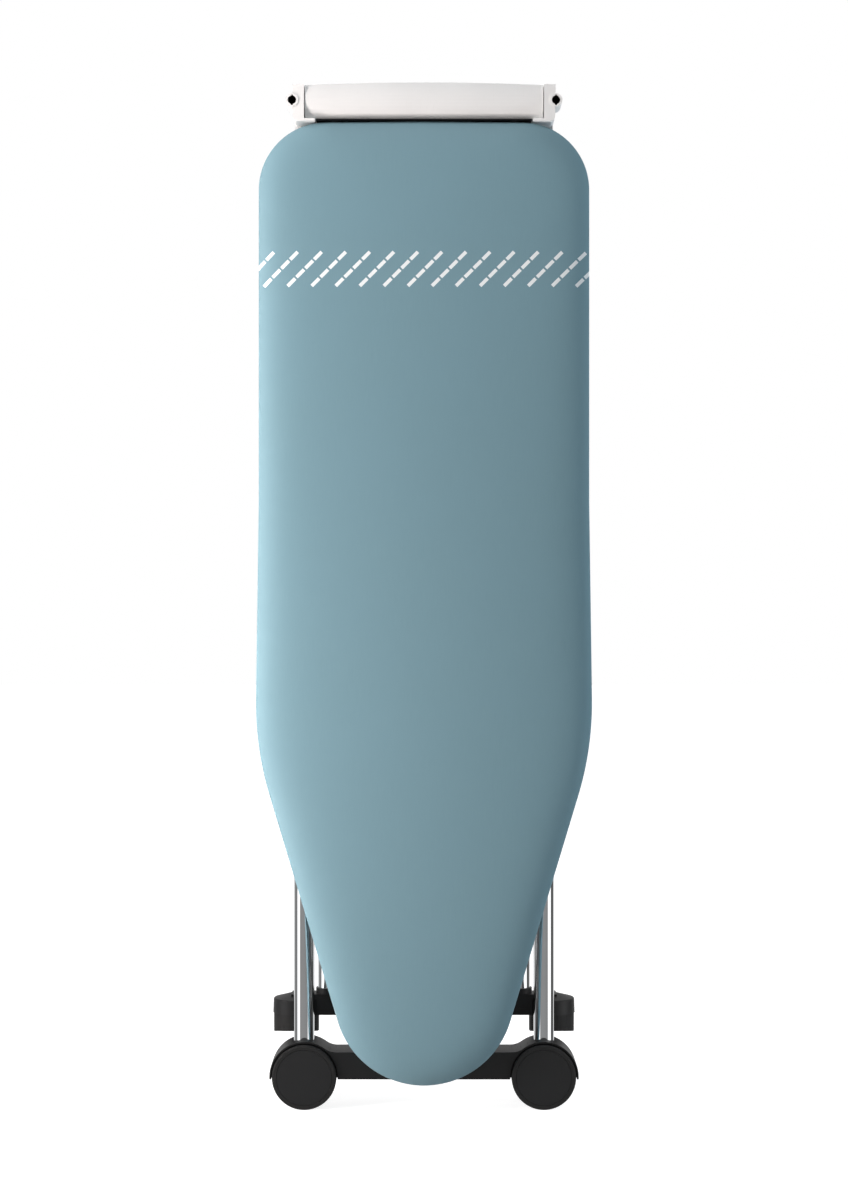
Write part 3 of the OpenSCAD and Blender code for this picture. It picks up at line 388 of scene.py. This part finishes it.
cover = ring_mesh("fitted_cover", rings)


def place_key(point):
    """A point to the nearest hundredth of a millimetre, which finds it again after the merge."""
    return tuple(round(c, 5) for c in point)


# Flat-cut coordinates in metres, so that the weave keeps its size where the cloth turns round the rim.
flat_at = {}
for i in range(count):
    travelled = 0.0
    for k, ring in enumerate(rings):
        if k < FACE_RINGS:
            flat = Vector((ring[i].x, ring[i].z))
        else:
            travelled += (ring[i] - rings[k - 1][i]).length
            flat = points[i] - normals[i] * EDGE_IN + normals[i] * travelled
        flat_at[place_key(ring[i])] = flat
flat_layer = cover.data.attributes.new("flat_cut", "FLOAT_VECTOR", "POINT")
for index, vertex in enumerate(cover.data.vertices):
    flat = flat_at.get(place_key(vertex.co), Vector((vertex.co.x, vertex.co.z)))
    flat_layer.data[index].vector = (flat.x, flat.y, 0.0)

YARN, GAP_SHADE = 0.00055, 0.10
SLUB_WIDTH, SLUB_LENGTH, FADE_SIZE = 0.0008, 0.03, 0.12
STRIPE_PITCH, STRIPE_WIDTH, STRIPE_SHIFT = 0.0298, 0.0044, 0.009
STRIPE_LOW, STRIPE_HIGH = 1.029, 1.0712
DASHES, DASH_SHARE = 4, 0.84


def new_material(name):
    """An empty material and its node tree."""
    material = bpy.data.materials.new(name)
    material.use_nodes = True
    material.node_tree.nodes.clear()
    return material, material.node_tree


def maths(tree, operation, *values):
    return add(tree, "ShaderNodeMath", dict(enumerate(values)), operation=operation)


def blend(tree, share, first, second):
    """Mixes two colours. Each is a hex colour, or a node and the name of its output."""
    inputs = {"Factor": share, "A": first, "B": second}
    for name in ("A", "B"):
        if isinstance(inputs[name], str):
            inputs[name] = linear(inputs[name])
    return add(tree, "ShaderNodeMix", inputs, data_type="RGBA")


def clouds(tree, place, size, detail):
    """Noise with spots of about the given size, in the unit of its place."""
    return add(tree, "ShaderNodeTexNoise", {"Vector": place, "Scale": 1 / size, "Detail": detail})


cotton, tree = new_material("cotton_plain_weave")
cut = add(tree, "ShaderNodeAttribute", attribute_name="flat_cut")
across = add(tree, "ShaderNodeSeparateXYZ", {"Vector": (cut, "Vector")})
warp = maths(tree, "SINE", (maths(tree, "MULTIPLY", (across, "X"), math.pi / YARN), "Value"))
weft = maths(tree, "SINE", (maths(tree, "MULTIPLY", (across, "Y"), math.pi / YARN), "Value"))
over = maths(tree, "MULTIPLY", (warp, "Value"), (weft, "Value"))
woven = add(tree, "ShaderNodeMapRange", {"Value": (over, "Value"), "From Min": -1.0, "From Max": 1.0})
stretched = add(tree, "ShaderNodeMapping", {
    "Vector": (cut, "Vector"), "Scale": (1 / SLUB_WIDTH, 1 / SLUB_LENGTH, 1.0)})
slub = clouds(tree, (stretched, "Vector"), 1.0, 2.0)
cloudy = clouds(tree, (cut, "Vector"), FADE_SIZE, 3.0)
shade = blend(tree, (slub, "Fac"), "6D8E99", "7898A2")
faded = blend(tree, (cloudy, "Fac"), (shade, "Result"), "7394A0")
# Painted shade: the weave is darkened towards 4B6872 in the gaps between yarns, and the print is thinned in
# those gaps too.
gap_shade = maths(tree, "MULTIPLY", (woven, "Result"), GAP_SHADE)
dyed_and_gap_shaded = blend(tree, (gap_shade, "Value"), (faded, "Result"), "4B6872")
# Each stripe climbs at 45 degrees and is cut square into dashes.
slant = maths(tree, "ADD", (maths(tree, "SUBTRACT", (across, "X"), (across, "Y")), "Value"), STRIPE_SHIFT)
stripes = maths(tree, "DIVIDE", (slant, "Value"), STRIPE_PITCH)
cell = maths(tree, "FRACT", (stripes, "Value"))
inside = maths(tree, "LESS_THAN", (cell, "Value"), STRIPE_WIDTH * math.sqrt(2) / STRIPE_PITCH)
start = maths(tree, "MULTIPLY", (maths(tree, "FLOOR", (stripes, "Value")), "Value"), STRIPE_PITCH)
climbed = maths(tree, "ADD", (across, "X"), (across, "Y"))
along = maths(tree, "SUBTRACT", (climbed, "Value"), (start, "Value"))
offset = STRIPE_WIDTH / math.sqrt(2) - STRIPE_SHIFT
climb = add(tree, "ShaderNodeMapRange", {
    "Value": (along, "Value"), "From Min": 2 * STRIPE_LOW + offset, "From Max": 2 * STRIPE_HIGH + offset,
    "To Max": DASHES + DASH_SHARE - 1}, clamp=False)
above = maths(tree, "GREATER_THAN", (climb, "Result"), 0.0)
below = maths(tree, "LESS_THAN", (climb, "Result"), DASHES)
band = maths(tree, "MULTIPLY", (above, "Value"), (below, "Value"))
dash = maths(tree, "LESS_THAN", (maths(tree, "FRACT", (climb, "Result")), "Value"), DASH_SHARE)
broken = maths(tree, "MULTIPLY", (inside, "Value"), (dash, "Value"))
printed = maths(tree, "MULTIPLY", (broken, "Value"), (band, "Value"))
crests = maths(tree, "SUBTRACT", 1.0, (gap_shade, "Value"))
inked = maths(tree, "MULTIPLY", (printed, "Value"), (crests, "Value"))
print_colour = blend(tree, (inked, "Value"), (dyed_and_gap_shaded, "Result"), "EEF2F3")
yarn_height = maths(tree, "ADD", (woven, "Result"), (maths(tree, "MULTIPLY", (slub, "Fac"), 0.5), "Value"))
weave_bump = add(tree, "ShaderNodeBump", {
    "Height": (yarn_height, "Value"), "Strength": 0.5, "Distance": 0.00008})
cloth = add(tree, "ShaderNodeBsdfPrincipled", {
    "Base Color": (print_colour, "Result"), "Normal": (weave_bump, "Normal"), "Roughness": 0.6,
    "Sheen Weight": 0.12, "Sheen Roughness": 0.4, "IOR": 1.5})
add(tree, "ShaderNodeOutputMaterial", {"Surface": (cloth, "BSDF")})
cover.data.materials.append(cotton)
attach(cover, "board")
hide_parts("cover")


# ---- Pad ----
# Foam and felt pad, cut to the deck and lying loose on it under the cover. Its felt back shows in the
# vents of the deck plate.
PAD_STEP = 0.006
PAD_IN, FACE_IN, PAD_BACK_IN = 0.0007, 0.002, 0.006
PAD_TOP_IN, SHOULDER_IN, SHOULDER_CUT = 0.0004, 0.0008, 0.0002
FACE_EDGE_CROWN, SHOULDER_CROWN = 0.0055, 0.0045
CORNER_CUT, CORNER_DEPTH, BACK_GAP = 0.0009, 0.0002, 0.0001
WANDER, WANDER_PACE, WANDER_ROW, WANDER_DEPTH = 0.0006, 0.13, 5.5, 40
PAD_FACE_RINGS, PAD_BACK_RINGS = 16, 8
FIBRE, PATCH = 0.0012, 0.02
pad_low, pad_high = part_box("pad")
pad_points, pad_normals = board_outline(pad_high.x, pad_low.z, pad_high.z, PAD_STEP)


def pad_edge(inset, y):
    """Points at an inset from the pad's cut edge, which wanders a little."""
    ring = []
    for i, (point, normal) in enumerate(zip(pad_points, pad_normals)):
        wander = WANDER * noise.noise(Vector((i * WANDER_PACE, WANDER_ROW, y * WANDER_DEPTH)))
        where = point - normal * (inset + PAD_IN + wander)
        ring.append(Vector((where.x, y, where.y)))
    return ring


def pad_sheet(rim_in, share, depth_at):
    """Points at a share of the way from the middle line to the rim. The distance left to it gives Y."""
    ring = []
    for point, normal in zip(pad_points, pad_normals):
        rim = point - normal * rim_in
        middle = spine_point(point, pad_low.z, pad_high.z)
        where = middle + (rim - middle) * share
        ring.append(Vector((where.x, depth_at((rim - middle).length * (1 - share)), where.y)))
    return ring


rings = []
for k in range(PAD_FACE_RINGS):
    share = 1 - (1 - k / (PAD_FACE_RINGS - 1)) ** RING_CROWDING
    rings.append(pad_sheet(FACE_IN, share,
                           lambda left: pad_low.y + PAD_TOP_IN + crown_at(FACE_EDGE_CROWN + left)))
rings.append(pad_edge(SHOULDER_CUT, pad_low.y + SHOULDER_IN + crown_at(SHOULDER_CROWN)))
rings.append(pad_edge(0.0, pad_high.y - CORNER_CUT))
rings.append(pad_edge(CORNER_CUT, pad_high.y - CORNER_DEPTH))
for k in range(PAD_BACK_RINGS):
    rings.append(pad_sheet(PAD_BACK_IN, 1 - k / (PAD_BACK_RINGS - 1), lambda left: pad_high.y - BACK_GAP))
pad = ring_mesh("foam_pad", rings)

felt, tree = new_material("felt")
place = add(tree, "ShaderNodeTexCoord")
fibres = add(tree, "ShaderNodeTexNoise", {
    "Vector": (place, "Object"), "Scale": 1 / FIBRE, "Detail": 6.0, "Distortion": 1.2})
patches = clouds(tree, (place, "Object"), PATCH, 4.0)
tone = blend(tree, (fibres, "Fac"), "C9C6BC", "EDEBE4")
mottled = blend(tree, (patches, "Fac"), (tone, "Result"), "DAD8CF")
fuzz = add(tree, "ShaderNodeBump", {"Height": (fibres, "Fac"), "Strength": 0.6, "Distance": 0.0003})
wool = add(tree, "ShaderNodeBsdfPrincipled", {
    "Base Color": (mottled, "Result"), "Normal": (fuzz, "Normal"), "Roughness": 0.95,
    "Sheen Weight": 0.3, "Sheen Roughness": 0.6, "IOR": 1.5})
add(tree, "ShaderNodeOutputMaterial", {"Surface": (wool, "BSDF")})
pad.data.materials.append(felt)
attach(pad, "board")
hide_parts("pad")


# ---- Deck plate ----
# Hexagon-vented sheet steel, galvanised, spot welded to the rim.
SPANGLE, ZINC_CLOUD, ZINC_GRAIN = 0.007, 0.06, 0.0009


def dress(names, material):
    """Gives CAD nodes their material."""
    for name in names:
        node = frame["nodes"][name]
        if not node.material_slots:
            node.data.materials.append(material)
        for held in node.material_slots:
            held.material = material


galvanised, tree = new_material("galvanised_steel")
place = add(tree, "ShaderNodeTexCoord")
spangle = add(tree, "ShaderNodeTexVoronoi", {
    "Vector": (place, "Object"), "Scale": 1 / SPANGLE, "Randomness": 1.0})
spangle_tone = add(tree, "ShaderNodeSeparateColor", {"Color": (spangle, "Color")})
cloud = clouds(tree, (place, "Object"), ZINC_CLOUD, 4.0)
mixed = maths(tree, "MULTIPLY", (spangle_tone, "Red"), (cloud, "Fac"))
zinc = blend(tree, (mixed, "Value"), "A9ADB0", "D4D7D9")
dull = add(tree, "ShaderNodeMapRange", {"Value": (spangle_tone, "Green"), "To Min": 0.3, "To Max": 0.5})
fine = clouds(tree, (place, "Object"), ZINC_GRAIN, 3.0)
texture = add(tree, "ShaderNodeBump", {"Height": (fine, "Fac"), "Strength": 0.3, "Distance": 0.00005})
metal = add(tree, "ShaderNodeBsdfPrincipled", {
    "Base Color": (zinc, "Result"), "Roughness": (dull, "Result"), "Normal": (texture, "Normal"),
    "Metallic": 1.0})
add(tree, "ShaderNodeOutputMaterial", {"Surface": (metal, "BSDF")})
dress(["deck_plate"], galvanised)


# ---- Rim, rails and cross channels ----
# Bent sheet steel, welded into the deck frame and powder coated silver.
PEEL, FLECK, COAT_CLOUD = 0.0011, 0.0006, 0.045
FLECKS_FROM, FLECK_STRENGTH, COAT_SPREAD = 0.86, 0.45, 0.07


def coated(name, colour, fleck, roughness):
    """Powder-coated steel: orange peel, fine flecks and a little uneven gloss."""
    material, tree = new_material(name)
    place = add(tree, "ShaderNodeTexCoord")
    peel = clouds(tree, (place, "Object"), PEEL, 2.0)
    specks = add(tree, "ShaderNodeTexVoronoi", {"Vector": (place, "Object"), "Scale": 1 / FLECK})
    bright = add(tree, "ShaderNodeSeparateColor", {"Color": (specks, "Color")})
    caught = maths(tree, "GREATER_THAN", (bright, "Blue"), FLECKS_FROM)
    share = maths(tree, "MULTIPLY", (caught, "Value"), FLECK_STRENGTH)
    wide = clouds(tree, (place, "Object"), COAT_CLOUD, 4.0)
    base = blend(tree, (wide, "Fac"), colour[0], colour[1])
    flecked = blend(tree, (share, "Value"), (base, "Result"), fleck)
    gloss = add(tree, "ShaderNodeMapRange", {
        "Value": (wide, "Fac"), "To Min": roughness - COAT_SPREAD, "To Max": roughness + COAT_SPREAD})
    skin = add(tree, "ShaderNodeBump", {"Height": (peel, "Fac"), "Strength": 0.35, "Distance": 0.00006})
    paint = add(tree, "ShaderNodeBsdfPrincipled", {
        "Base Color": (flecked, "Result"), "Roughness": (gloss, "Result"), "Normal": (skin, "Normal"),
        "IOR": 1.5})
    add(tree, "ShaderNodeOutputMaterial", {"Surface": (paint, "BSDF")})
    return material


silver_coat = coated("silver_powder_coat", ("9A9DA1", "A9ACB0"), "D8DADC", 0.42)
dress(["deck_rim", "rail_left", "rail_right", "cross_upper", "cross_lower"], silver_coat)


# ---- Brackets and quadrant ----
# Folded steel brackets bolted to the channels, the pawl on its bracket, and the notched quadrant that is
# welded to the cross tube. Dark grey powder coat.
dark_coat = coated("dark_powder_coat", ("26272A", "2F3033"), "55575A", 0.45)
dress(["bracket_a_left", "bracket_a_right", "bracket_b_left", "bracket_b_right", "lever_bracket",
       "pawl_bracket", "height_quadrant", "pawl"], dark_coat)


# ---- Rear beam and cross tube ----
# Steel tubes, satin black powder coat.
black_coat = coated("black_powder_coat", ("040405", "070708"), "18181A", 0.5)
dress(["rear_beam", "leg_b_cross_tube"], black_coat)


# ---- Leg tubes ----
# Round steel tube, polished and chrome plated.
SMUDGE, LINES_ALONG = 0.035, 6.0
GLOSSIEST, DULLEST, GLOSS_FULL = 0.7, 1.4, 0.6


def plated(name, colour, roughness, grain):
    """Plated or bright steel with faint drawing lines along Z and smudges in its gloss."""
    material, tree = new_material(name)
    place = add(tree, "ShaderNodeTexCoord")
    drawn = add(tree, "ShaderNodeMapping", {
        "Vector": (place, "Object"), "Scale": (1 / grain, 1 / grain, LINES_ALONG)})
    lines = clouds(tree, (drawn, "Vector"), 1.0, 3.0)
    smudge = clouds(tree, (place, "Object"), SMUDGE, 5.0)
    tone = blend(tree, (smudge, "Fac"), colour[0], colour[1])
    worn = maths(tree, "MULTIPLY", (lines, "Fac"), (smudge, "Fac"))
    gloss = add(tree, "ShaderNodeMapRange", {
        "Value": (worn, "Value"), "From Max": GLOSS_FULL,
        "To Min": roughness * GLOSSIEST, "To Max": roughness * DULLEST})
    scratches = add(tree, "ShaderNodeBump", {
        "Height": (lines, "Fac"), "Strength": 0.1, "Distance": 0.00001})
    steel = add(tree, "ShaderNodeBsdfPrincipled", {
        "Base Color": (tone, "Result"), "Roughness": (gloss, "Result"), "Normal": (scratches, "Normal"),
        "Metallic": 1.0})
    add(tree, "ShaderNodeOutputMaterial", {"Surface": (steel, "BSDF")})
    return material


chrome = plated("chrome_plate", ("E6E8EA", "F0F1F2"), 0.04, 0.0006)
dress(["leg_a_tube_left", "leg_a_tube_right", "leg_b_tube_left", "leg_b_tube_right"], chrome)


# ---- Rods, pins, screws and spring ----
# Drawn steel, zinc plated. The rods slide in the guides, the pins are pressed in, and the screws hold the
# end caps, the leg brackets and the heels.
zinc_steel = plated("zinc_plated_steel", ("B9BCC0", "CDD0D3"), 0.24, 0.0004)
dress(["rest_rod_left", "rest_rod_right", "rest_wires", "axle_a", "link_rod", "release_pins",
       "lever_spring", "deck_screws", "foot_screws", "wheel_pin_left", "wheel_pin_right",
       "runner_pin_left", "runner_pin_right"], zinc_steel)


# ---- Rest bar and end caps ----
# White injection-moulded polypropylene, satin. The bar is pressed on the rods, and the caps clip over
# the rim.
RESIN_CLOUD, RESIN_SPREAD = 0.05, 0.06
SCUFF_SIZE, SCUFF_TILT = (0.0012, 0.03, 0.02), (0.4, 0.3, 0.5)
SCUFF_FROM, SCUFF_FULL = 0.64, 0.72


def moulded(name, colour, roughness, grain, depth, scuff):
    """Moulded plastic or rubber: spark-eroded grain, uneven gloss and light handling scuffs."""
    material, tree = new_material(name)
    place = add(tree, "ShaderNodeTexCoord")
    pores = clouds(tree, (place, "Object"), grain, 3.0)
    wide = clouds(tree, (place, "Object"), RESIN_CLOUD, 4.0)
    drawn = add(tree, "ShaderNodeMapping", {
        "Vector": (place, "Object"), "Rotation": SCUFF_TILT,
        "Scale": tuple(1 / size for size in SCUFF_SIZE)})
    rubs = clouds(tree, (drawn, "Vector"), 1.0, 2.0)
    marks = add(tree, "ShaderNodeMapRange", {
        "Value": (rubs, "Fac"), "From Min": SCUFF_FROM, "From Max": SCUFF_FULL, "To Max": scuff})
    base = blend(tree, (wide, "Fac"), colour[0], colour[1])
    rubbed = blend(tree, (marks, "Result"), (base, "Result"), colour[2])
    gloss = add(tree, "ShaderNodeMapRange", {
        "Value": (wide, "Fac"), "To Min": roughness - RESIN_SPREAD, "To Max": roughness + RESIN_SPREAD})
    duller = maths(tree, "ADD", (gloss, "Result"), (marks, "Result"))
    skin = add(tree, "ShaderNodeBump", {"Height": (pores, "Fac"), "Strength": 0.4, "Distance": depth})
    resin = add(tree, "ShaderNodeBsdfPrincipled", {
        "Base Color": (rubbed, "Result"), "Roughness": (duller, "Value"), "Normal": (skin, "Normal"),
        "IOR": 1.5})
    add(tree, "ShaderNodeOutputMaterial", {"Surface": (resin, "BSDF")})
    return material


white_resin = moulded("white_polypropylene", ("DFDFDE", "E6E6E5", "D0D0CE"), 0.38, 0.0005, 0.00003, 0.12)
dress(["rest_bar", "end_cap_left", "end_cap_right"], white_resin)


# ---- Black mouldings ----
# Black polypropylene: foot beam with its wheel housings, tail panel, lever, runners, foot caps, tube plugs.
black_resin = moulded("black_polypropylene", ("0D0D0E", "121213", "262627"), 0.5, 0.0006, 0.00004, 0.15)
dress(["tail_panel", "release_lever", "foot_beam", "leg_a_plugs", "leg_b_plugs", "runner_left",
       "runner_right", "foot_cap_left", "foot_cap_right", "leg_b_collars"], black_resin)


# ---- Socket shade sleeves ----
# Thin black polypropylene sleeves set in the rod sockets of the end caps, closed at the far end: painted
# shade, dark sheets that make the deep bores read black.
SHADE_SLEEVE_WALL, SHADE_SLEEVE_SET, SHADE_SLEEVE_FIT = 0.0004, 0.0008, 0.0001
SHADE_SLEEVE_SIDES = 48
for mount in frame["record"]["mounts"]:
    if not mount["name"].startswith("rod_socket"):
        continue
    reach, depth = mount["dims"]["r_mm"] / 1000, mount["dims"]["length_mm"] / 1000
    socket = Vector(mount["pos_m"])
    front_y = socket.y - depth / 2 + SHADE_SLEEVE_SET
    back_y = socket.y + depth / 2 - SHADE_SLEEVE_SET
    profile = [(reach - SHADE_SLEEVE_WALL, back_y - SHADE_SLEEVE_WALL), (reach - SHADE_SLEEVE_WALL, front_y),
               (reach - SHADE_SLEEVE_WALL / 2, front_y - SHADE_SLEEVE_WALL / 2), (reach - SHADE_SLEEVE_FIT, front_y),
               (reach - SHADE_SLEEVE_FIT, back_y)]
    angles = [2 * math.pi * i / SHADE_SLEEVE_SIDES for i in range(SHADE_SLEEVE_SIDES)]
    rings = []
    for radius, y in profile:
        rings.append([Vector((socket.x + radius * math.cos(a), y, socket.z + radius * math.sin(a)))
                      for a in angles])
    # Painted shade: a dark sheet lining the bore where there would only be shade.
    shade_sleeve = ring_mesh(mount["name"] + "_sleeve", rings, close_start=True, close_end=True)
    shade_sleeve.data.materials.append(black_resin)
    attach(shade_sleeve, "board")


# ---- Grey mouldings ----
# Grey acetal: the guide blocks that the rods slide in, hinge bushes and stop collars.
grey_resin = moulded("grey_acetal", ("47484B", "505154", "6A6B6D"), 0.36, 0.0005, 0.00003, 0.12)
dress(["rod_guides", "bushes_b", "rest_collars"], grey_resin)


# ---- Wheels ----
# Moulded hub discs on steel pins, each with a softer tread round it.
wheel_resin = moulded("wheel_nylon", ("161617", "191A1B", "303031"), 0.55, 0.0006, 0.00004, 0.12)
dress(["wheel_hub_left", "wheel_hub_right"], wheel_resin)


# ---- Rubber pads, heels and treads ----
# Moulded rubber, matt and slightly dusty, pushed into the caps and housings.
rubber = moulded("black_rubber", ("121212", "191919", "2E2D2C"), 0.68, 0.0009, 0.00008, 0.2)
dress(["foot_pad_left", "foot_pad_right", "heel_left", "heel_right", "wheel_tread_left",
       "wheel_tread_right"], rubber)
